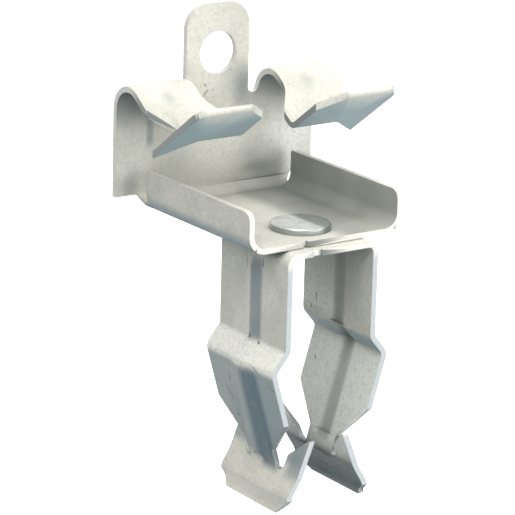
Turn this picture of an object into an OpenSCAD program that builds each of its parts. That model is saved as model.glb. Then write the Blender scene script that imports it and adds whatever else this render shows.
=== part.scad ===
// Hammer-on beam flange clip with a push-in conduit clip riveted under its tray.
// Millimetres. X runs across the back plate, -Y is the way the tray and the jaws reach, +Z is up.
// The origin is where a beam flange sits: on the rail tops, against the plate's front face, mid width.

/* [Sheet] */
// Thickness of both spring steel sheets
sheet_t = 1.2; // [1:0.05:1.4]

/* [Back plate] */
// Width of the plate over both jaws
plate_w = 48.6; // [46:0.2:52]
// Depth of the plate's free lower corners below the flange seat
wing_drop = 5.4; // [4.5:0.1:6.5]
// Width of the web that carries the tray, where it leaves the lower corners
web_w = 37.8; // [35:0.2:40]

/* [Tab] */
// Width of the tab between the jaws
tab_w = 15.4; // [14:0.2:17]
// Height of the tab's top above the flange seat
tab_top = 32.5; // [30:0.5:38]
// Radius of the tab's two top corners
tab_corner_r = 5; // [2:0.1:6.5]
// Diameter of the hole in the tab
tab_hole_d = 8.9; // [6:0.1:10]
// Height of that hole's centre above the flange seat
tab_hole_z = 22.2; // [21:0.1:25]
// Width of the slot between the tab and each jaw
slot_w = 2.5; // [1.5:0.1:2.8]
// Height of the slot's round bottom above the flange seat
slot_floor = 12.9; // [11:0.1:14]

/* [Jaws] */
// Outer radius of the loop that turns each jaw forward
loop_r = 5.5; // [4.5:0.1:6]
// Height of the loop's top above the flange seat
loop_top = 18.35; // [17:0.05:21]
// Angle at which the strip comes down from the loop, below level
drop_angle = 35; // [30:1:42]
// Angle at which the tongue rises towards its front edge
rise_angle = 36; // [30:1:42]
// Distance of the valley between strip and tongue from the plate's front face
valley_y = 17.6; // [16.5:0.1:19]
// Inside radius of the valley's bend
valley_r = 1.3; // [0.8:0.1:2]
// Distance of the tongue's front edge from the plate's front face
tongue_y = 29.6; // [27:0.1:32]
// Distance of each tongue's inner edge from the middle
tongue_inner_x = 6.5; // [5:0.1:7.5]
// Width of the chamfer on the tongue's inner front corner
tongue_chamfer_w = 5.4; // [2:0.1:7]
// Depth of that chamfer
tongue_chamfer_d = 4; // [2:0.1:6]
// Radius of the tongue's outer front corner
tongue_corner_r = 2.6; // [1:0.1:4]
// Distance from the plate at which the strip's outer side starts to slant inwards
strip_cut_y = 10.6; // [8:0.1:13]
// Distance of the tooth's tip from the plate's front face
tooth_y = 13.6; // [13:0.1:16]
// Distance of the tooth's root from the middle
tooth_root_x = 17; // [15:0.1:19]

/* [Tray] */
// Width of the tray over its rails
tray_w = 37; // [34:0.2:39]
// Height of the rails from the tray's underside to the flange seat
rail_h = 8.75; // [7:0.05:10]
// Distance of the tray's front edge from the plate's front face
tray_y = 39.4; // [37:0.1:44]
// Inside radius of the bends at the tray's sides
rail_bend_r = 2.8; // [1.5:0.1:3.5]
// Inside radius of the bend from the plate into the tray, which is also the gap behind the rails
rear_bend_r = 2.6; // [1.5:0.1:3]
// Radius of the rails' front top corners
rail_corner_r = 2; // [1:0.1:4]
// Width of the small notch in the tray's front edge
tray_notch_w = 1.2; // [0.8:0.1:3]
// Depth of that notch
tray_notch_d = 0.9; // [0.4:0.1:2]
// Offset of that notch from the middle
tray_notch_x = -5; // [-9:0.1:9]

/* [Rivet] */
// Distance of the rivet's axis from the plate's front face
rivet_y = 30.5; // [28:0.1:31]
// Diameter of the rivet's flat head
head_d = 12.3; // [10:0.1:14]
// Height of the head
head_h = 1.25; // [0.9:0.05:2]
// Radius of the head's rounded upper rim
head_rim_r = 0.35; // [0.1:0.05:0.6]
// Diameter of the shank
shank_d = 5; // [4:0.1:6]
// Diameter of the formed tail under the conduit clip
tail_d = 8; // [7:0.1:9.5]
// Height of the tail
tail_h = 1.6; // [1.2:0.1:2.2]

/* [Conduit clip] */
// Width over the two upright legs
clip_w = 21.9; // [20:0.1:26]
// Width of the strap, which is the length of conduit it holds
strap_w = 23; // [20:0.1:26]
// Inside radius of the two bends below the tray
shoulder_r = 1.2; // [0.8:0.1:2.5]
// Depth of the corner where the legs start to step out, below the tray
step_top = 20.1; // [17:0.1:23]
// How far each leg steps out
step_out = 3.25; // [2:0.05:4.5]
// Angle at which they step out, from upright
step_angle = 40; // [30:1:50]
// Depth of the bend below the neck
neck_depth = 46.7; // [45.5:0.1:50]
// Angle at which the legs close in below the step
close_angle = 16.5; // [12:0.5:20]
// Depth at which the legs start to narrow
taper_top = 35.4; // [33:0.1:38]
// Depth at which the taper reaches the neck
taper_end = 42.8; // [41:0.1:44]
// Width of the neck
neck_w = 8.9; // [7.4:0.1:11]
// Inside radius of the bends along the legs
leg_bend_r = 1.3; // [0.8:0.1:2.5]
// Height of the pressed rib down each leg
rib_h = 0.8; // [0.4:0.05:1.2]
// Width of that rib
rib_w = 6.4; // [4:0.1:8]
// Width of the small notch in the pad's front edge
pad_notch_w = 2; // [1:0.1:4]
// Depth of that notch
pad_notch_d = 0.7; // [0.4:0.1:1.5]
// Offset of that notch from the middle
pad_notch_x = -3.8; // [-7:0.1:7]

/* [Flares] */
// Angle at which the flares spread outwards
flare_angle = 23.4; // [15:0.2:30]
// Depth of the flare below the neck's bend
flare_h = 7.5; // [6:0.1:11]
// Width over the ears
ear_w = 24.4; // [22:0.1:27]
// Height of the ears' tips above the neck's bend
ear_top = 7.6; // [6:0.1:8]
// Height of the ears' inner corners above that bend
ear_inner_top = 3.2; // [2.2:0.1:5]
// Width of the flare's lower edge between its chamfers
flare_edge_w = 15.9; // [12:0.1:19]
// Height of those chamfers
flare_chamfer_h = 3.6; // [2:0.1:5]
// Width of the notches between the neck and the ears
ear_notch_w = 2.4; // [1.6:0.1:3]

/* [Fits] */
// Gap between the tray and the pad, and between the pad and the rivet's tail
swivel_gap = 0.08; // [0.04:0.01:0.3]
// Radial clearance of the shank in the pad's hole
shank_clearance = 0.06; // [0.03:0.01:0.1]

/* [Hidden] */
$fn = 72;

steel = [0.76, 0.76, 0.73];
zinc = [0.80, 0.81, 0.82];

half_t = sheet_t / 2;
tray_z = -rail_h;
jaw_inner_x = tab_w / 2 + slot_w;
jaw_outer_x = plate_w / 2;
slot_r = slot_w / 2;
// Size of the cutters that only have to reach past the part.
reach = 100;

// Mid line of a jaw as (y, z), from the plate over the loop and round the valley to the tongue's edge.
loop_mid_r = loop_r - half_t;
loop_z = loop_top - loop_r;
loop_reach = loop_mid_r * tan((90 + drop_angle) / 2);
valley_z = loop_z + loop_reach - (valley_y + half_t) * tan(drop_angle);
JAW = [
    [half_t, loop_z - 2],
    [half_t, loop_z + loop_reach],
    [-valley_y, valley_z],
    [-tongue_y, valley_z + (tongue_y - valley_y) * tan(rise_angle)]
];
JAW_R = [0, loop_mid_r, valley_r + half_t, 0];

// Mid line of the +X leg as (x, z below the tray), from the pad to the flare's edge.
pad_mid = swivel_gap + half_t;
leg_x = clip_w / 2 - half_t;
step_x = leg_x + step_out;
step_end = step_top + step_out / tan(step_angle);
neck_x = step_x - (neck_depth - step_end) * tan(close_angle);
LEG = [
    [0, -pad_mid],
    [leg_x, -pad_mid],
    [leg_x, -step_top],
    [step_x, -step_end],
    [neck_x, -neck_depth],
    [neck_x + flare_h * tan(flare_angle), -neck_depth - flare_h]
];
leg_mid_r = leg_bend_r + half_t;
LEG_R = [0, shoulder_r + half_t, leg_mid_r, leg_mid_r, leg_mid_r, 0];

// Each end of the rib slopes back into the sheet over this length.
rib_end_l = 2.2;
rib_top = shoulder_r + half_t + rib_end_l + 0.3;
rib_bottom = (neck_depth - step_end) / cos(close_angle) - 1 - rib_end_l;

function heading(p, i) = atan2(p[i + 1][1] - p[i][1], p[i + 1][0] - p[i][0]);
function left_of(a) = [-sin(a), cos(a)];

// One side of a bent sheet, d to the left of its mid line p, with mid radius r[i] at corner i.
function sheet_side(p, r, d) = [
    for (i = [0:len(p) - 1])
        let (
            end = i == 0 || i == len(p) - 1,
            a = heading(p, i == 0 ? 0 : i - 1),
            b = heading(p, i == len(p) - 1 ? i - 1 : i),
            turn = b - a > 180 ? b - a - 360 : b - a < -180 ? b - a + 360 : b - a,
            s = sign(turn),
            from = p[i] - [cos(a), sin(a)] * (end ? 0 : r[i] * tan(abs(turn) / 2)),
            centre = from + left_of(a) * s * r[i],
            steps = end ? 0 : ceil(abs(turn) / 5)
        )
        for (k = [0:steps])
            end ? p[i] + left_of(i == 0 ? b : a) * d
            : centre - left_of(a + turn * k / steps) * s * (r[i] - s * d)
];

// Outline of a bent sheet seen along its bends.
function bent_sheet(p, r) =
    let (back = sheet_side(p, r, -half_t))
    concat(sheet_side(p, r, half_t), [for (i = [len(back) - 1:-1:0]) back[i]]);

// Polygon points with corner i rounded by radii[i], where 0 leaves it sharp.
function rounded(points, radii) = [
    for (i = [0:len(points) - 1])
        let (
            n = len(points),
            a = points[(i + n - 1) % n] - points[i],
            b = points[(i + 1) % n] - points[i],
            ua = a / norm(a),
            ub = b / norm(b),
            half = acos(ua * ub) / 2,
            centre = points[i] + (ua + ub) / norm(ua + ub) * radii[i] / sin(half),
            from = points[i] + ua * radii[i] / tan(half) - centre,
            to = points[i] + ub * radii[i] / tan(half) - centre,
            sweep = atan2(from[0] * to[1] - from[1] * to[0], from * to),
            steps = radii[i] == 0 ? 0 : 8
        )
        for (k = [0:steps])
            steps == 0 ? points[i]
            : centre + [
                from[0] * cos(sweep * k / steps) - from[1] * sin(sweep * k / steps),
                from[0] * sin(sweep * k / steps) + from[1] * cos(sweep * k / steps)
            ]
];

// The last flat run alone, carried on by more beyond the bend that it comes from.
function last_run(p, r, more) =
    let (
        left = sheet_side(p, r, half_t),
        right = sheet_side(p, r, -half_t),
        n = len(left) - 1,
        m = len(right) - 1,
        back = (left[n - 1] - left[n]) / norm(left[n - 1] - left[n]) * more
    )
    [left[n - 1] + back, left[n - 1], left[n], right[m], right[m - 1], right[m - 1] + back];

// Stands a 2D shape drawn in (x, z) upright and gives it depth from y0 back to y1.
module upright(y0, y1) {
    translate([0, y1, 0]) rotate([90, 0, 0]) linear_extrude(height = y1 - y0) children();
}

// Gives a shape drawn in (y, z) width from x0 to x1.
module across(x0, x1) {
    translate([x0, 0, 0]) rotate([90, 0, 90]) linear_extrude(height = x1 - x0) children();
}

// The plate with its two free lower corners, and the tab between the slots.
module back_plate() {
    bend_top = tray_z + sheet_t + rear_bend_r;
    slot_top = slot_floor + slot_r;
    upright(0, sheet_t)
        difference() {
            union() {
                for (side = [-1, 1])
                    translate([side * (web_w + plate_w) / 4 - (plate_w - web_w) / 4, -wing_drop])
                        square([(plate_w - web_w) / 2, loop_z + wing_drop]);
                translate([-web_w / 2, bend_top]) square([web_w, loop_z - bend_top]);
                translate([-jaw_inner_x, loop_z - 1]) square([2 * jaw_inner_x, slot_top - loop_z + 1]);
                translate([-tab_w / 2, slot_top - 1]) square([tab_w, tab_top - tab_corner_r - slot_top + 1]);
                translate([-tab_w / 2 + tab_corner_r, slot_top]) square([tab_w - 2 * tab_corner_r, tab_top - slot_top]);
                for (side = [-1, 1])
                    translate([side * (tab_w / 2 - tab_corner_r), tab_top - tab_corner_r]) circle(r = tab_corner_r);
            }
            for (side = [-1, 1])
                translate([side * (tab_w / 2 + slot_r), slot_top]) circle(r = slot_r);
            translate([0, tab_hole_z]) circle(d = tab_hole_d);
        }
}

// The jaw on the +X side: loop, falling strip, valley and rising tongue with its tooth.
module jaw() {
    chamfer_x = tongue_inner_x + tongue_chamfer_w;
    root_y = -valley_y - (valley_r + half_t) * sin(rise_angle);
    intersection() {
        across(tongue_inner_x, jaw_outer_x) polygon(bent_sheet(JAW, JAW_R));
        translate([0, 0, -reach / 2]) linear_extrude(height = reach)
            polygon(rounded([
                [jaw_inner_x, 3], [jaw_inner_x, -9.9], [tongue_inner_x, -14.7],
                [tongue_inner_x, -reach / 2],
                [tooth_root_x, -reach / 2], [tooth_root_x, root_y], [jaw_outer_x, -strip_cut_y], [jaw_outer_x, 3]
            ], [0, 4, 2, 0, 0, 0, 0.8, 0]));
        jaw_front();
    }
    intersection() {
        across(tooth_root_x, jaw_outer_x) polygon(last_run(JAW, JAW_R, 12));
        translate([0, 0, -reach / 2]) linear_extrude(height = reach)
            polygon([
                [tooth_root_x, root_y], [jaw_outer_x, -tooth_y],
                [jaw_outer_x, -reach / 2], [tooth_root_x, -reach / 2]
            ]);
        jaw_front();
    }
}

// Keeps what lies behind the tongue's front edge, with its chamfer and its rounded corner.
module jaw_front() {
    chamfer_x = tongue_inner_x + tongue_chamfer_w;
    translate([0, 0, -reach / 2]) linear_extrude(height = reach)
        polygon(rounded([
            [0, 3], [0, -tongue_y + tongue_chamfer_d * (chamfer_x / tongue_chamfer_w)],
            [chamfer_x, -tongue_y], [jaw_outer_x, -tongue_y], [jaw_outer_x, 3]
        ], [0, 0, 1.2, tongue_corner_r, 0]));
}

// Cross section of the tray between the outer faces of its rails, grown inwards by g.
module tray_section(g) {
    r = rail_bend_r + sheet_t - g;
    flat = tray_w / 2 - rail_bend_r - sheet_t;
    mid_z = tray_z + sheet_t + rail_bend_r;
    translate([-flat, tray_z + g]) square([2 * flat, rail_h + g]);
    translate([-tray_w / 2 + g, mid_z]) square([tray_w - 2 * g, -mid_z + 2 * g]);
    for (side = [-1, 1]) translate([side * flat, mid_z]) circle(r = r);
}

// The tray with both rails, and the web that bends from the plate into it.
module tray() {
    web_x = web_w / 2;
    flat = tray_w / 2 - rail_bend_r - sheet_t;
    bend_z = tray_z + sheet_t + rear_bend_r;
    difference() {
        intersection() {
            upright(-tray_y, -rear_bend_r)
                difference() {
                    tray_section(0);
                    tray_section(sheet_t);
                }
            rotate([90, 0, 90]) translate([0, 0, -tray_w])
                linear_extrude(height = 2 * tray_w)
                    polygon(rounded(
                        [[-rear_bend_r, 0], [-tray_y, 0], [-tray_y, tray_z - 1], [-rear_bend_r, tray_z - 1]],
                        [0.4, rail_corner_r, 0, 0]
                    ));
        }
        translate([tray_notch_x - tray_notch_w / 2, -tray_y - 1, tray_z - 1])
            cube([tray_notch_w, tray_notch_d + 1, sheet_t + 2]);
        translate([0, -rivet_y, tray_z - 1]) cylinder(d = shank_d, h = sheet_t + 2);
    }
    intersection() {
        across(-web_x, web_x)
            difference() {
                translate([-rear_bend_r, bend_z]) circle(r = rear_bend_r + sheet_t);
                translate([-rear_bend_r, bend_z]) circle(r = rear_bend_r);
                translate([-rear_bend_r - reach, bend_z - reach / 2]) square([reach, reach]);
                translate([-rear_bend_r - reach / 2, bend_z]) square([reach, reach]);
            }
        upright(-rear_bend_r - 1, sheet_t + 1)
            polygon([
                [-web_x, bend_z + 1], [-web_x, -wing_drop], [-web_x + 1.7, -wing_drop - 2.5],
                [-flat, tray_z - 0.05], [flat, tray_z - 0.05], [web_x - 1.7, -wing_drop - 2.5],
                [web_x, -wing_drop], [web_x, bend_z + 1]
            ]);
    }
}

module flange_clip() {
    color(steel) {
        back_plate();
        jaw();
        mirror([1, 0, 0]) jaw();
        tray();
    }
}

module rivet() {
    r = head_d / 2;
    color(zinc)
        translate([0, -rivet_y, 0]) {
            translate([0, 0, tray_z + sheet_t])
                rotate_extrude()
                    polygon(rounded(
                        [[0, 0], [r, 0], [r, head_h], [0, head_h]],
                        [0, 0, head_rim_r, 0]
                    ));
            translate([0, 0, tray_z - 2 * swivel_gap - sheet_t - tail_h / 2])
                cylinder(d = shank_d, h = 2 * sheet_t + 2 * swivel_gap + tail_h / 2 + head_h / 2);
            translate([0, 0, tray_z - 2 * swivel_gap - sheet_t - tail_h])
                cylinder(d1 = tail_d - 1, d2 = tail_d, h = tail_h / 2);
            translate([0, 0, tray_z - 2 * swivel_gap - sheet_t - tail_h / 2])
                cylinder(d = tail_d, h = tail_h / 2);
        }
}

// Puts something on the straight run that leaves corner i: z along the leg, x outwards, y across.
module on_run(i) {
    translate([LEG[i][0], 0, LEG[i][1]])
        rotate([180, 0, 0]) rotate([0, 90 + heading(LEG, i), 0]) children();
}

// Half of all space, up to or beyond the plane that halves the bend at corner 3.
module bend_half(side) {
    translate([LEG[3][0], 0, LEG[3][1]])
        rotate([180, 0, 0]) rotate([0, 90 + (heading(LEG, 2) + heading(LEG, 3)) / 2, 0])
            translate([-10, -10, side > 0 ? -0.004 : -20]) cube([11.15, 20, 20.004]);
}

// A V on the sheet face at x of one run, with an end that falls along z where wanted.
// Its flanks run on past that face by sink, so that they always cross it.
module rib_run(x, length, falls) {
    sink = 0.32;
    wider = 1 + sink / rib_h;
    section = [[x - sink, -rib_w / 2 * wider], [x + rib_h, 0], [x - sink, rib_w / 2 * wider], [x - rib_h, 0]];
    linear_extrude(height = length) polygon(section);
    if (falls)
        intersection() {
            linear_extrude(height = length + rib_end_l * wider) polygon(section);
            upright(-rib_w, rib_w)
                polygon([
                    [x - rib_h, 0.1], [x + rib_h, 0.1], [x + rib_h, length],
                    [x - sink, length + rib_end_l * wider], [x - rib_h, length + rib_end_l * wider]
                ]);
        }
}

// The rib's V along the leg: added on the outer face, taken out of the inner one.
module rib_on(x) {
    upper = step_top - pad_mid - rib_top;
    on_run(1) translate([0, 0, rib_top]) {
        rib_run(x, upper, false);
        translate([0, 0, 1]) mirror([0, 0, 1]) rib_run(x, 1, true);
    }
    intersection() {
        on_run(2) translate([0, 0, x > 0 ? -0.3 : 0]) rib_run(x, step_out / sin(step_angle) + 2, false);
        bend_half(-1);
    }
    intersection() {
        on_run(3) translate([0, 0, -2]) rib_run(x, rib_bottom + 2, true);
        bend_half(1);
    }
}

// The leg on the +X side with its flare and the two ears.
module leg() {
    neck = neck_w / 2;
    ear = ear_w / 2;
    edge = flare_edge_w / 2;
    ear_x = neck + ear_notch_w;
    notch_z = -neck_depth;
    low = -neck_depth - flare_h - half_t;
    difference() {
        union() {
            intersection() {
                upright(-strap_w / 2, strap_w / 2) polygon(bent_sheet(LEG, LEG_R));
                across(0, reach / 2)
                    polygon([
                        [-strap_w / 2, 1], [-strap_w / 2, -taper_top], [-neck, -taper_end], [-neck, low],
                        [neck, low], [neck, -taper_end], [strap_w / 2, -taper_top], [strap_w / 2, 1]
                    ]);
            }
            for (side = [0, 1]) mirror([0, side, 0])
                intersection() {
                    upright(neck, ear) polygon(last_run(LEG, LEG_R, ear_top + 6));
                    across(0, reach / 2)
                        polygon(rounded([
                            [neck, notch_z], [ear_x, notch_z], [ear_x, notch_z + ear_inner_top],
                            [ear, notch_z + ear_top], [ear, low + flare_chamfer_h], [edge, low], [neck, low]
                        ], [0, 1.1, 0.8, 0.3, 0.6, 0.6, 0]));
                }
            rib_on(half_t);
        }
        rib_on(-half_t);
    }
}

// Takes the rivet's hole and the small notch in the front edge out of the pad.
module pad_cuts() {
    translate([0, 0, -pad_mid]) {
        cylinder(r = shank_d / 2 + shank_clearance, h = 2 * sheet_t, center = true);
        translate([pad_notch_x - pad_notch_w / 2, -strap_w / 2 - 1, -sheet_t])
            cube([pad_notch_w, pad_notch_d + 1, 2 * sheet_t]);
    }
}

module conduit_clip() {
    color(steel)
        translate([0, -rivet_y, tray_z])
            difference() {
                union() {
                    leg();
                    mirror([1, 0, 0]) leg();
                }
                pad_cuts();
            }
}

flange_clip();
rivet();
conduit_clip();
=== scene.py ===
import math

import bmesh
import bpy
from mathutils import Matrix, Vector
from mathutils.bvhtree import BVHTree


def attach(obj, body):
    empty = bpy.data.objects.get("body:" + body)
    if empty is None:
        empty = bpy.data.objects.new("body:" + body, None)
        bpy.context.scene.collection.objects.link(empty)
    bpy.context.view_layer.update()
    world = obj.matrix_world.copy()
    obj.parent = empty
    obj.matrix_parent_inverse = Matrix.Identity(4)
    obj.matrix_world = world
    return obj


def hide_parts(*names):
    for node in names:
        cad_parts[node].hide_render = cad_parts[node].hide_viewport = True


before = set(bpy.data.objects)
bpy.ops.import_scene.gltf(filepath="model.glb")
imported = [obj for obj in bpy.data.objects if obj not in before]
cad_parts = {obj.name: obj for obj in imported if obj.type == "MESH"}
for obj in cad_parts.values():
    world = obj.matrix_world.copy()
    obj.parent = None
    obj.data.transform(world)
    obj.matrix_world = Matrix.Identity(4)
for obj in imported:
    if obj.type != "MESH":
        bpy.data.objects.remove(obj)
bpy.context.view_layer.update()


# Camera. The view was solved from the photograph: the lens is long, the clip is seen from its
# front left and a little from above, and it leans slightly to the right.
AZIMUTH = math.radians(-35.20)
ELEVATION = math.radians(16.38)
ROLL = 0.0277
EYE = (-0.31241, -0.45890, 0.14186)
LENS = 193.55

camera_data = bpy.data.cameras.new("camera")
camera = bpy.data.objects.new("camera", camera_data)
bpy.context.scene.collection.objects.link(camera)
camera_data.sensor_width = 36
camera_data.lens = LENS
camera_data.clip_start = 0.01
turned = Matrix.Rotation(AZIMUTH, 4, "Z") @ Matrix.Rotation(math.pi / 2 - ELEVATION, 4, "X")
camera.matrix_world = Matrix.Translation(EYE) @ turned @ Matrix.Rotation(ROLL, 4, "Z")
bpy.context.scene.camera = camera


# Flange clip. One blank of 1.2 mm spring steel, sheared, bored and folded: a back plate with its tab
# and two spring jaws on top, and the tray between two rails below. It is hardened and then tumbled
# with zinc dust, which leaves a matt, sandy coat that is brightest along the sheared edges.
SHEET = 0.0012
SHARP_FROM = math.radians(32)
JOIN_WITHIN = 2e-6
CUT_FROM = 1.65
EDGE_ROUND = 0.00025
GRAIN_HEIGHT = 0.0001
SCRATCH_WANDER = 0.0004
SHELTER_REACH = 0.022
LEG_EDGE_TOP = -0.0108
LEG_EDGE_FULL = -0.0128
COAT_LIGHT = (0.68, 0.67, 0.605, 1)
COAT_DULL = (0.56, 0.56, 0.51, 1)
COAT_GRAIN = (0.34, 0.35, 0.34, 1)
# Painted shade, not a colour of the coat: folds, overhangs and shadows are darkened towards it.
COAT_PAINTED_SHADE = (0.20, 0.215, 0.20, 1)
COAT_NICK = (0.16, 0.17, 0.18, 1)
EDGE_BRIGHT = (0.70, 0.69, 0.64, 1)
EDGE_TORN = (0.55, 0.56, 0.56, 1)
# Painted shade for cut faces turned left or down.
EDGE_PAINTED_SHADE = (0.17, 0.195, 0.20, 1)
# Painted shade for the cut faces of the legs.
EDGE_LEG_PAINTED_SHADE = (0.42, 0.46, 0.48, 1)
# Painted shade for faces turned down, tinted blue.
UNDERSIDE_PAINTED_SHADE = (0.24, 0.37, 0.43, 1)


class Tone:
    """A number, colour or direction in a node tree; Python's operators on it add Math nodes."""

    def __init__(self, recipe, link):
        self.recipe = recipe
        self.link = link

    def math(self, operation, *parts):
        return self.recipe.node("ShaderNodeMath", {"operation": operation}, parts)

    def __add__(self, other):
        return self.math("ADD", self, other)

    def __radd__(self, other):
        return self.math("ADD", other, self)

    def __sub__(self, other):
        return self.math("SUBTRACT", self, other)

    def __rsub__(self, other):
        return self.math("SUBTRACT", other, self)

    def __mul__(self, other):
        return self.math("MULTIPLY", self, other)

    def __rmul__(self, other):
        return self.math("MULTIPLY", other, self)

    def most(self, other):
        return self.math("MAXIMUM", self, other)

    def output(self, name):
        return Tone(self.recipe, self.link.node.outputs[name])


class Recipe:
    """The node tree of one finish or of the room. node() makes every node in it."""

    def __init__(self, owner):
        self.owner = owner
        owner.use_nodes = True
        self.tree = owner.node_tree
        self.tree.nodes.clear()

    def node(self, kind, settings=None, sockets=(), out=0):
        made = self.tree.nodes.new(kind)
        for key, value in (settings or {}).items():
            setattr(made, key, value)
        pairs = sockets.items() if isinstance(sockets, dict) else enumerate(sockets)
        for key, value in pairs:
            if isinstance(value, Tone):
                self.tree.links.new(value.link, made.inputs[key])
            else:
                made.inputs[key].default_value = value
        return Tone(self, made.outputs[out] if len(made.outputs) else None)

    def place(self):
        return self.node("ShaderNodeTexCoord", out=3)

    def vector(self, operation, *parts, out=0):
        return self.node("ShaderNodeVectorMath", {"operation": operation}, parts, out)

    def noise(self, at, scale, detail=3.0, roughness=0.55, out=0):
        sockets = {"Vector": at, "Scale": scale, "Detail": detail, "Roughness": roughness}
        return self.node("ShaderNodeTexNoise", None, sockets, out)

    def fade(self, value, low, high, to_low=0.0, to_high=1.0):
        return self.node(
            "ShaderNodeMapRange",
            {"interpolation_type": "SMOOTHSTEP"},
            {"Value": value, "From Min": low, "From Max": high, "To Min": to_low, "To Max": to_high},
        )

    def blend(self, factor, a, b):
        settings = {"data_type": "RGBA", "clamp_factor": True}
        return self.node("ShaderNodeMix", settings, {0: factor, 6: a, 7: b}, 2)

    def patch(self, at, middle, reach, core):
        """1 in the core of a spot and 0 outside it; reach is its half size along X, Y and Z."""
        away = self.vector("SUBTRACT", at, middle)
        away = self.vector("MULTIPLY", away, [1 / r for r in reach])
        return self.fade(self.vector("LENGTH", away, out=1), core, 1.0, 1.0, 0.0)

    def facing(self, direction):
        """How squarely the surface looks along a direction of the piece, from -1 to 1."""
        return self.vector("DOT_PRODUCT", self.node("ShaderNodeTexCoord", out=1), direction, out=1)

    def scratch(self, at, start, end, width):
        """1 along the line from start to end, thinning out over its width."""
        run = Vector(end) - Vector(start)
        from_start = self.vector("SUBTRACT", at, start)
        along = self.vector("DOT_PRODUCT", from_start, run / run.length_squared, out=1)
        along = self.node("ShaderNodeClamp", None, {"Value": along})
        foot = self.vector("MULTIPLY_ADD", run, along, start)
        return self.fade(self.vector("DISTANCE", at, foot, out=1), 0.3 * width, width, 1.0, 0.0)

    def stripe(self, value, low, high, *soft):
        """1 between low and high and 0 outside, with soft sides: one softness for both, or one for each."""
        a, b = soft[0], soft[-1]
        return self.fade(value, low - a, low + a) * self.fade(value, high - b, high + b, 1.0, 0.0)

    def shelter(self, reach):
        """How deep in a fold or under another fold a point lies: 0 in the open."""
        return 1.0 - self.node("ShaderNodeAmbientOcclusion", {"samples": 8}, {"Distance": reach}, out=1)

    def bump(self, height, strength, distance):
        """Relief on faces whose corners are rounded by a hair, as tumbling leaves them."""
        rounded = self.node("ShaderNodeBevel", {"samples": 4}, {"Radius": EDGE_ROUND})
        sockets = {"Height": height, "Strength": strength, "Distance": distance, "Normal": rounded}
        return self.node("ShaderNodeBump", None, sockets)

    def surface(self, **sockets):
        named = {key.replace("_", " "): value for key, value in sockets.items()}
        shader = self.node("ShaderNodeBsdfPrincipled", None, named)
        self.node("ShaderNodeOutputMaterial", None, {"Surface": shader})
        return self.owner


def zinc_coat_and_painted_light(name, seed, patches, stripes, scratches):
    """The matt coat on the faces of a sheet, with its soft tones and the marks of tumbling, and painted light
    and shade: darker in folds, under overhangs and on faces turned down, and lighter or darker in the patches
    and stripes.

    A patch is (middle, reach, core, amount, colour), a stripe (ends along the axes, amount, colour) and
    a scratch (start, end, width, depth).
    """
    coat = Recipe(bpy.data.materials.new(name))
    at = coat.place()
    shifted = {"Vector": at, "Location": (seed, 0.7 * seed, 0.3 * seed)}
    grain_at = coat.node("ShaderNodeMapping", None, shifted)
    cloud = coat.noise(grain_at, 110.0, 3.0, 0.5)
    sand = coat.noise(grain_at, 1500.0, 3.0, 0.7)
    dust = coat.noise(grain_at, 4200.0, 2.0, 0.6)
    tone = coat.blend(0.75 * coat.fade(cloud, 0.40, 0.66), COAT_LIGHT, COAT_DULL)
    # Painted shade: faces turned downward are tinted dark blue.
    under = coat.fade(coat.facing((0, 0, -1)), 0.30, 0.80)
    tone = coat.blend(0.8 * under, tone, UNDERSIDE_PAINTED_SHADE)
    for middle, reach, core, amount, colour in patches:
        ragged = coat.patch(at, middle, reach, core) * coat.fade(cloud, 0.2, 0.6, 0.75, 1.0)
        tone = coat.blend(amount * ragged, tone, colour)
    apart = coat.node("ShaderNodeSeparateXYZ", None, [at])
    for ranges, amount, colour in stripes:
        share = amount * coat.fade(cloud, 0.2, 0.6, 0.85, 1.0)
        for axis, ends in ranges.items():
            share = share * coat.stripe(apart.output(axis), *ends)
        tone = coat.blend(share, tone, colour)
    # Painted shade: the coat is darkened where ambient occlusion finds a fold or an overhang.
    tone = coat.blend(coat.fade(coat.shelter(SHELTER_REACH), 0.18, 0.80, 0.0, 0.85), tone, COAT_PAINTED_SHADE)
    tone = coat.blend(0.30 * coat.fade(sand, 0.30, 0.56, 1.0, 0.0), tone, COAT_GRAIN)
    tone = coat.blend(0.30 * coat.fade(dust, 0.34, 0.52, 1.0, 0.0), tone, COAT_GRAIN)
    pits = coat.node("ShaderNodeTexVoronoi", None, {"Vector": grain_at, "Scale": 330.0})
    pit = coat.fade(pits, 0.05, 0.11, 1.0, 0.0) * coat.fade(cloud, 0.44, 0.6)
    tone = coat.blend(0.25 * pit, tone, COAT_NICK)
    height = 0.6 * sand + 0.4 * dust - 0.8 * pit
    wander = coat.noise(at, 900.0, 2.0, 0.5, out=1)
    wavy_at = coat.vector("MULTIPLY_ADD", wander, (SCRATCH_WANDER,) * 3, at)
    wavy_at = coat.vector("SUBTRACT", wavy_at, (SCRATCH_WANDER / 2,) * 3)
    for start, end, width, depth in scratches:
        nick = coat.scratch(wavy_at, start, end, width)
        tone = coat.blend(depth * nick, tone, COAT_NICK)
        height = height - depth * nick
    return coat.surface(
        Base_Color=tone,
        Metallic=0.05,
        Roughness=coat.fade(sand, 0.3, 0.7, 0.62, 0.48),
        Specular_IOR_Level=0.15,
        Normal=coat.bump(height, 0.65, GRAIN_HEIGHT),
    )


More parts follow.
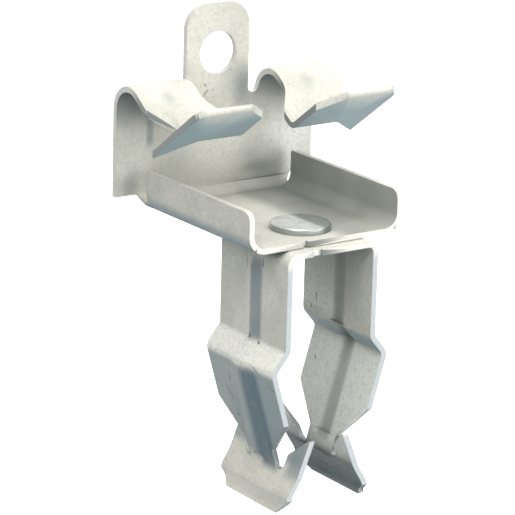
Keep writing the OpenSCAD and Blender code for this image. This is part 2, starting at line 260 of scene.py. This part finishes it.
def sheared_edge_and_painted_shade(name, seed):
    """The cut faces round the sheet: burnished bright and torn in places, with painted shade: cooler and
    darker on the legs, and dark where they face left or down.
    """
    cut = Recipe(bpy.data.materials.new(name))
    at = cut.node("ShaderNodeMapping", None, {"Vector": cut.place(), "Location": (seed, seed, 0.4 * seed)})
    sand = cut.noise(at, 1900.0, 3.0, 0.65)
    tear = cut.fade(cut.noise(at, 420.0, 3.0, 0.6), 0.56, 0.68)
    tone = cut.blend(0.45 * tear, EDGE_BRIGHT, EDGE_TORN)
    apart = cut.node("ShaderNodeSeparateXYZ", None, [cut.place()])
    # Painted shade: cut faces below the pad, on the legs, are cooler and darker.
    tone = cut.blend(cut.fade(apart.output("Z"), LEG_EDGE_FULL, LEG_EDGE_TOP, 1.0, 0.0), tone, EDGE_LEG_PAINTED_SHADE)
    # Painted shade: cut faces turned to the left, most strongly near the front, and cut faces turned down go
    # dark.
    leftward = cut.fade(cut.facing((-1, 0, 0)), 0.3, 0.75)
    shaded_side = leftward * cut.fade(apart.output("Y"), -0.009, -0.0045, 1.0, 0.25)
    tone = cut.blend(0.9 * shaded_side.most(cut.fade(cut.facing((0, 0, -1)), 0.3, 0.8)), tone, EDGE_PAINTED_SHADE)
    tone = cut.blend(0.25 * cut.fade(sand, 0.32, 0.52, 1.0, 0.0), tone, COAT_GRAIN)
    return cut.surface(
        Base_Color=tone,
        Metallic=0.15,
        Roughness=cut.fade(sand, 0.3, 0.7, 0.5, 0.38),
        Specular_IOR_Level=0.4,
        Normal=cut.bump(sand - 0.5 * tear, 0.3, GRAIN_HEIGHT),
    )


def sheet_copy(node, title, coat, cut, reshape, cuts, foremost, lowest):
    """A copy of a sheet's node with joined corners, reshaped, its cut faces finished on their own.

    A face from which the far side of the sheet lies deeper than the sheet's thickness is a cut one. The
    planes in cuts add the edges that reshape bends, behind foremost in y and above lowest in z.
    """
    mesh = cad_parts[node].data.copy()
    mesh.name = title
    mesh.materials.clear()
    mesh.materials.append(coat)
    mesh.materials.append(cut)
    work = bmesh.new()
    work.from_mesh(mesh)
    bmesh.ops.remove_doubles(work, verts=work.verts, dist=JOIN_WITHIN)
    tree = BVHTree.FromBMesh(work)
    for face in work.faces:
        inward = -face.normal
        hit = tree.ray_cast(face.calc_center_median() + inward * 1e-5, inward)
        face.material_index = 0 if hit[3] is not None and hit[3] < CUT_FROM * SHEET else 1
        face.smooth = True
    bmesh.ops.dissolve_limit(
        work, angle_limit=math.radians(0.6), verts=work.verts[:], edges=work.edges[:], delimit={"MATERIAL"}
    )
    for point, normal in cuts:
        middles = {f: f.calc_center_median() for f in work.faces}
        near = [f for f, middle in middles.items() if middle.y > foremost and middle.z > lowest]
        geometry = near + list({e for f in near for e in f.edges}) + list({v for f in near for v in f.verts})
        bmesh.ops.bisect_plane(work, geom=geometry, dist=1e-6, plane_co=point, plane_no=normal)
    for corner in work.verts:
        corner.co = reshape(corner.co)
    bmesh.ops.triangulate(work, faces=[f for f in work.faces if len(f.verts) > 4])
    work.to_mesh(mesh)
    work.free()
    mesh.set_sharp_from_angle(angle=SHARP_FROM)
    piece = bpy.data.objects.new(title, mesh)
    bpy.context.scene.collection.objects.link(piece)
    return piece


JAW_MIDDLE = (-0.01735, 0.01705)
JAW_HALF = 0.0072
JAW_INNER = 0.0089
HUMP = (0.0002, 0.00042)
CROWN_FOOT = 0.0105
CROWN_RISE = 0.0078
CROWN_FRONT = 0.0150
CROWN_FADE = 0.0045


def raised_loops(at):
    """The loops' tops are crowned a little across their width, where the press let them spring."""
    if at.z < CROWN_FOOT or abs(at.x) < JAW_INNER:
        return at
    side = 0 if at.x < 0 else 1
    across = min(1.0, abs(at.x - JAW_MIDDLE[side]) / JAW_HALF)
    rise = min(1.0, (at.z - CROWN_FOOT) / CROWN_RISE)
    behind = min(1.0, max(0.0, (at.y + CROWN_FRONT) / CROWN_FADE))
    crown = HUMP[side] * (1 - 0.6 * across**4)
    return at + Vector((0, 0, behind * crown * rise * rise * (3 - 2 * rise)))


# Painted light for the plate.
PLATE_PAINTED_LIGHT = (0.90, 0.895, 0.86, 1)
# Painted shade for the hollows of the loops.
HOLLOW_PAINTED_SHADE = (0.13, 0.17, 0.19, 1)
# Painted shade in grey.
GREY_PAINTED_SHADE = (0.30, 0.33, 0.33, 1)
# Painted shade for the left rail.
RAIL_PAINTED_SHADE = (0.24, 0.33, 0.38, 1)
LEFT_JAW = (-0.026, -0.0090, 0.0006)
RIGHT_JAW = (0.0090, 0.026, 0.0006)
INSIDE_LOOP = (-0.0070, 0.0004, 0.0002)
PLATE_FACE = (-0.0004, 0.0004, 0.0002)
flange_coat_and_painted_light = zinc_coat_and_painted_light(
    "flange_clip_coat_and_painted_light",
    0.31,
    [
        # Painted light: a bright pool on the plate's right part and a fainter one in its middle.
        ((0.018, -0.0005, 0.003), (0.011, 0.004, 0.011), 0.25, 0.95, PLATE_PAINTED_LIGHT),
        ((0.0, -0.0005, 0.003), (0.012, 0.004, 0.009), 0.25, 0.5, PLATE_PAINTED_LIGHT),
        # Painted shade on the middle of each loop's top, and on the plate's lower left.
        ((-0.0177, -0.0089, 0.0166), (0.0023, 0.0034, 0.0030), 0.1, 0.42, GREY_PAINTED_SHADE),
        ((0.0164, -0.0088, 0.0167), (0.0025, 0.0036, 0.0030), 0.1, 0.38, GREY_PAINTED_SHADE),
        ((-0.0208, -0.0005, -0.0035), (0.0030, 0.0030, 0.0030), 0.2, 0.45, GREY_PAINTED_SHADE),
        # Painted shade on the plate's foot under the right jaw.
        ((0.0105, -0.0005, -0.0032), (0.0060, 0.0030, 0.0022), 0.2, 0.60, COAT_PAINTED_SHADE),
    ],
    [
        # Painted shade inside both loops, and a painted shadow on the plate beside the left strip.
        ({"X": LEFT_JAW, "Y": INSIDE_LOOP, "Z": (0.0105, 0.01728, 0.0036, 0.0001)}, 0.80, HOLLOW_PAINTED_SHADE),
        ({"X": RIGHT_JAW, "Y": INSIDE_LOOP, "Z": (0.0128, 0.01728, 0.0030, 0.0001)}, 0.72, HOLLOW_PAINTED_SHADE),
        ({"X": (-0.017, -0.0154, 0.0005), "Y": PLATE_FACE, "Z": (0.0045, 0.013, 0.0012)}, 0.60, HOLLOW_PAINTED_SHADE),
        # Painted shade on the tab's lower right.
        ({"X": (0.0040, 0.0085, 0.0026), "Y": PLATE_FACE, "Z": (0.0110, 0.0180, 0.0035)}, 0.92, GREY_PAINTED_SHADE),
        # Painted shade along the lower part of the left rail, tinted blue.
        (
            {"X": (-0.021, -0.015, 0.0010), "Y": (-0.0440, -0.002, 0.0015), "Z": (-0.0110, -0.0060, 0.0016)},
            0.65,
            RAIL_PAINTED_SHADE,
        ),
        # Painted shadow of the right jaw on the tray's right part and the inside of the right rail.
        (
            {"X": (0.004, 0.030, 0.0025), "Y": (-0.048, -0.001, 0.0025), "Z": (-0.009, 0.0012, 0.0022)},
            0.72,
            COAT_PAINTED_SHADE,
        ),
    ],
    [
        ((-0.00300, 0.0, 0.01560), (-0.00295, 0.0, 0.01575), 0.00035, 0.8),
        ((-0.00230, 0.0, 0.01450), (-0.00300, 0.0, 0.01400), 0.00022, 0.8),
        ((-0.00300, 0.0, 0.01400), (-0.00340, 0.0, 0.01330), 0.00022, 0.7),
    ],
)
flange_cut_and_painted_shade = sheared_edge_and_painted_shade("flange_clip_edge_and_painted_shade", 0.17)
crown_cuts = [((s * (0.0105 + 0.0015 * i), 0, 0), (1, 0, 0)) for s in (-1, 1) for i in range(9)]
flange_piece = sheet_copy(
    "flange_clip", "flange_clip_sheet", flange_coat_and_painted_light, flange_cut_and_painted_shade, raised_loops, crown_cuts, -0.016, 0.008
)
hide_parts("flange_clip")
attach(flange_piece, "flange_body")


# Conduit clip. A strap of the same sheet, folded to a pad and two springy legs, pressed with a stiffening
# rib down each, stepped to take two sizes of conduit, and closed to a neck with flared ears below it.
# It has the same coat, and hangs by its pad on the rivet.
TRAY_BOTTOM = -0.00875
RIVET_Y = -0.0305
# Depths below the tray and how far outward the flare moves there, both in mm.
EAR_SHIFT = [
    (39.0, -0.37), (43.25, -0.07), (46.05, 0.10), (46.9, 0.04), (48.9, -0.38), (50.2, -0.66),
    (50.9, -0.62), (52.5, 0.0), (54.5, 0.62),
]
# How far the ears' edges draw in, in m, at the flare and at the lip.
EAR_REAR = (0.0008, 0.00135)
EAR_FRONT = (0.0002, -0.00065)
EAR_INNER = 5.6
EAR_TIP = (12.5, 37.0)
EAR_SLOPE = 0.94
FLARE_TOP = 46.5
FLARE_HALF = 12.2
LIP_LOSS = 4.25
LIP_CORNER = 50.6
LIP_HEIGHT = 3.6


def curved_flares(at):
    """Below its neck the real flare is bent twice: nearly upright first, and then out into a lip."""
    depth = (TRAY_BOTTOM - at.z) * 1000
    out = abs(at.y - RIVET_Y) * 1000
    ear = out > EAR_INNER and depth > EAR_TIP[1] + (EAR_TIP[0] - out) * EAR_SLOPE
    if not (depth > FLARE_TOP or ear):
        return at
    shift = EAR_SHIFT[-1][1]
    for (high, a), (low, b) in zip(EAR_SHIFT, EAR_SHIFT[1:]):
        if depth <= low:
            shift = a + (b - a) * max(0.0, (depth - high) / (low - high))
            break
    moved = at.copy()
    moved.x += math.copysign(shift / 1000, at.x)
    drop = min(1.0, max(0.0, (depth - LIP_CORNER) / LIP_HEIGHT))
    full = FLARE_HALF - LIP_LOSS * drop
    near, far = EAR_REAR if at.y > RIVET_Y else EAR_FRONT
    pull = (near * (1 - drop) + far * drop) * min(1.0, out / full)
    moved.y += -pull if at.y > RIVET_Y else pull
    return moved


# Painted shade, slate blue.
LOW_LEG_PAINTED_SHADE = (0.27, 0.345, 0.375, 1)
# Painted shade, deep.
DEEP_PAINTED_SHADE = (0.19, 0.24, 0.27, 1)
# Painted shade, near black.
FLARE_PAINTED_SHADE = (0.06, 0.09, 0.105, 1)
# Painted shade, dark blue.
BLUE_PAINTED_SHADE = (0.08, 0.145, 0.19, 1)
# Painted light for the legs.
LEG_PAINTED_LIGHT = (0.92, 0.92, 0.86, 1)
# Painted shade, olive.
RIB_PAINTED_SHADE = (0.24, 0.26, 0.23, 1)
LEFT_LEG = (-0.016, -0.006, 0.001)
conduit_coat_and_painted_light = zinc_coat_and_painted_light(
    "conduit_clip_coat_and_painted_light",
    0.53,
    [],
    [
        # Painted shade on the left leg's lower part, which slants to face down.
        ({"X": LEFT_LEG, "Z": (-0.0535, -0.0338, 0.0009)}, 0.72, LOW_LEG_PAINTED_SHADE),
        # Painted light on the left leg's step, which faces up and out.
        ({"X": LEFT_LEG, "Z": (-0.0336, -0.0288, 0.0006)}, 0.85, LEG_PAINTED_LIGHT),
        # More painted shade on the front of the left leg's lower part.
        ({"X": LEFT_LEG, "Y": (-0.0435, -0.0338, 0.0010), "Z": (-0.0535, -0.0340, 0.001)}, 0.45, LOW_LEG_PAINTED_SHADE),
        # Painted shade on the flank of the left leg's upper rib.
        ({"X": LEFT_LEG, "Y": (-0.0334, -0.0304, 0.0006), "Z": (-0.0284, -0.0120, 0.0009)}, 0.88, DEEP_PAINTED_SHADE),
        # Painted shade on the flank of the left leg's lower rib.
        (
            {"X": (-0.016, -0.004, 0.001), "Y": (-0.0358, -0.0308, 0.0010), "Z": (-0.0560, -0.0345, 0.0010)},
            0.85,
            BLUE_PAINTED_SHADE,
        ),
        # Painted shade on the right flare, whose inside faces down.
        ({"X": (0.002, 0.0140, 0.001), "Z": (-0.0640, -0.0548, 0.0010)}, 0.96, FLARE_PAINTED_SHADE),
        # Painted light on the inside of the right leg, high up at the rear.
        (
            {"X": (0.006, 0.0150, 0.001), "Y": (-0.0292, -0.0150, 0.0010), "Z": (-0.0280, -0.0100, 0.002)},
            0.95,
            LEG_PAINTED_LIGHT,
        ),
        # Painted light on the right leg, low down.
        ({"X": (0.003, 0.0150, 0.001), "Z": (-0.0530, -0.0335, 0.0012)}, 0.95, LEG_PAINTED_LIGHT),
        # Painted shade on the rib of the right leg, seen from its inside.
        (
            {"X": (0.004, 0.0160, 0.001), "Y": (-0.0326, -0.0290, 0.0008), "Z": (-0.0530, -0.0100, 0.001)},
            0.66,
            RIB_PAINTED_SHADE,
        ),
        # Painted shadow of the left leg on the top of its front ear.
        (
            {"X": (-0.012, 0.000, 0.001), "Y": (-0.0450, -0.0385, 0.0012), "Z": (-0.0560, -0.0480, 0.0015)},
            0.70,
            DEEP_PAINTED_SHADE,
        ),
    ],
    [
        ((-0.01182, -0.02317, -0.04085), (-0.01117, -0.02482, -0.04303), 0.00024, 0.9),
        ((-0.01288, -0.02530, -0.03727), (-0.01243, -0.02541, -0.03880), 0.00022, 0.9),
        ((-0.01398, -0.03553, -0.03303), (-0.01383, -0.03709, -0.03405), 0.00022, 0.8),
        ((-0.01331, -0.03918, -0.03581), (-0.01309, -0.04164, -0.03656), 0.00020, 0.7),
        ((-0.01007, -0.02516, -0.04677), (-0.01012, -0.02530, -0.04650), 0.00035, 0.8),
        ((0.00975, -0.02348, -0.02442), (0.00975, -0.02358, -0.02611), 0.00022, 0.9),
        ((0.00975, -0.02189, -0.02721), (0.00975, -0.02192, -0.02785), 0.00024, 0.9),
        ((0.01121, -0.02192, -0.03870), (0.01104, -0.02217, -0.03925), 0.00022, 0.9),
        ((-0.01127, -0.02859, -0.01278), (-0.01130, -0.02872, -0.01460), 0.00024, 0.8),
        ((-0.01097, -0.03364, -0.01173), (-0.01095, -0.03369, -0.01316), 0.00022, 0.8),
        ((-0.01172, -0.03062, -0.02794), (-0.01172, -0.03070, -0.02820), 0.00050, 0.9),
        ((-0.01134, -0.03326, -0.02892), (-0.01134, -0.03330, -0.02910), 0.00045, 0.9),
    ],
)
conduit_cut_and_painted_shade = sheared_edge_and_painted_shade("conduit_clip_edge_and_painted_shade", 0.71)
flare_depths = (46.9, 47.9, 48.9, 49.7, 50.2, 50.6, 50.9, 51.5, 52.5)
flare_cuts = [((0, 0, TRAY_BOTTOM - d / 1000), (0, 0, 1)) for d in flare_depths]
conduit_piece = sheet_copy(
    "conduit_clip", "conduit_clip_sheet", conduit_coat_and_painted_light, conduit_cut_and_painted_shade, curved_flares, flare_cuts, -1, -1
)
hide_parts("conduit_clip")
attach(conduit_piece, "conduit_body")


# Rivet. A flat-headed steel rivet, bright zinc plated and smooth, set through the tray and the pad so
# that the conduit clip can turn under it.
RIVET_LIGHT = (0.70, 0.72, 0.70, 1)
RIVET_GREY = (0.56, 0.59, 0.58, 1)
# Painted shade for the rivet's head.
RIVET_PAINTED_SHADE = (0.15, 0.18, 0.17, 1)


def bright_zinc_and_painted_shade():
    zinc = Recipe(bpy.data.materials.new("rivet_zinc_and_painted_shade"))
    at = zinc.place()
    soft = zinc.noise(at, 300.0, 3.0, 0.5)
    tone = zinc.blend(zinc.fade(soft, 0.35, 0.7), RIVET_LIGHT, RIVET_GREY)
    across = zinc.node("ShaderNodeSeparateXYZ", None, [at])
    # Painted shade: the head darkens over its right half, and on its sides, which don't face up.
    tone = zinc.blend(0.9 * zinc.fade(across, 0.0004, 0.0024), tone, RIVET_PAINTED_SHADE)
    tone = zinc.blend(zinc.fade(zinc.facing((0, 0, 1)), 0.2, 0.85, 0.65, 0.0), tone, RIVET_PAINTED_SHADE)
    return zinc.surface(
        Base_Color=tone,
        Metallic=0.55,
        Roughness=zinc.fade(soft, 0.3, 0.7, 0.20, 0.28),
        Normal=zinc.bump(soft, 0.05, GRAIN_HEIGHT),
    )


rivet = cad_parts["rivet"]
rivet.data.materials.clear()
rivet.data.materials.append(bright_zinc_and_painted_shade())


# Room. A plain pale floor well below the part and a white room, both seen by the camera and by the
# gloss, and soft studio light: boxes overhead, high on the left, in front on the right, and a faint cool
# one low on the left.
FLOOR_Z = -0.35
SKY_HIGH = (1.25, 1.235, 1.19, 1)
SKY_LOW = (0.03, 0.06, 0.09, 1)
SKY_AXIS = (-0.10, -0.30, 0.95)
FLOOR_PALE = (0.85, 0.85, 0.85, 1)
FLOOR_BOUNCE = (0.10, 0.13, 0.16, 1)


def seen_directly(recipe):
    """1 for what the camera sees and what gloss and glass show, 0 for the light on the object."""
    paths = recipe.node("ShaderNodeLightPath")
    shown = paths.output("Is Camera Ray").most(paths.output("Is Glossy Ray"))
    return shown.most(paths.output("Is Transmission Ray"))


world = bpy.data.worlds.new("room")
bpy.context.scene.world = world
room = Recipe(world)
facing = room.vector("DOT_PRODUCT", room.node("ShaderNodeTexCoord"), SKY_AXIS, out=1)
sky = room.blend(room.fade(facing, -0.7, 0.95), SKY_LOW, SKY_HIGH)
glow = room.node("ShaderNodeBackground", None, {"Color": sky, "Strength": 1.0})
white = room.node("ShaderNodeBackground", None, {"Color": (1, 1, 1, 1), "Strength": 1.0})
room_light = room.node("ShaderNodeMixShader", None, [seen_directly(room), glow, white])
room.node("ShaderNodeOutputWorld", None, [room_light])

floor_mesh = bpy.data.meshes.new("floor")
floor_corners = [(x, y, FLOOR_Z) for x, y in ((-3, -3), (3, -3), (3, 3), (-3, 3))]
floor_mesh.from_pydata(floor_corners, [], [(0, 1, 2, 3)])
floor = bpy.data.objects.new("floor", floor_mesh)
bpy.context.scene.collection.objects.link(floor)
boards = Recipe(bpy.data.materials.new("floor_pale"))
bounce = boards.node("ShaderNodeBsdfDiffuse", None, {"Color": FLOOR_BOUNCE})
pale = boards.node("ShaderNodeBsdfDiffuse", None, {"Color": FLOOR_PALE})
lit = boards.node("ShaderNodeEmission", None, {"Color": (1, 1, 1, 1), "Strength": 0.75})
shown_floor = boards.node("ShaderNodeAddShader", None, [pale, lit])
floor_look = boards.node("ShaderNodeMixShader", None, [seen_directly(boards), bounce, shown_floor])
boards.node("ShaderNodeOutputMaterial", None, [floor_look])
floor_mesh.materials.append(boards.owner)


def softbox(name, place, target, size, power, colour):
    data = bpy.data.lights.new(name, "AREA")
    data.shape = "RECTANGLE"
    data.size, data.size_y = size
    data.energy = power
    data.color = colour
    lamp = bpy.data.objects.new(name, data)
    bpy.context.scene.collection.objects.link(lamp)
    lamp.rotation_mode = "QUATERNION"
    lamp.rotation_quaternion = (Vector(target) - Vector(place)).to_track_quat("-Z", "Y")
    lamp.location = place


softbox("key", (-0.34, -0.31, 0.41), (0, -0.02, 0), (0.22, 0.22), 0.8, (1.0, 0.985, 0.95))
softbox("low_fill", (-0.26, -0.48, -0.22), (0, -0.02, -0.02), (0.70, 0.70), 0.4, (0.86, 0.95, 1.0))
softbox("overhead", (0.02, 0.06, 0.62), (0, -0.02, 0), (0.30, 0.30), 1.6, (1.0, 0.985, 0.95))
softbox("front", (0.25, -0.58, 0.0), (0, -0.02, 0), (0.55, 0.55), 2.3, (1.0, 0.99, 0.97))

bpy.context.scene.view_settings.view_transform = "Standard"
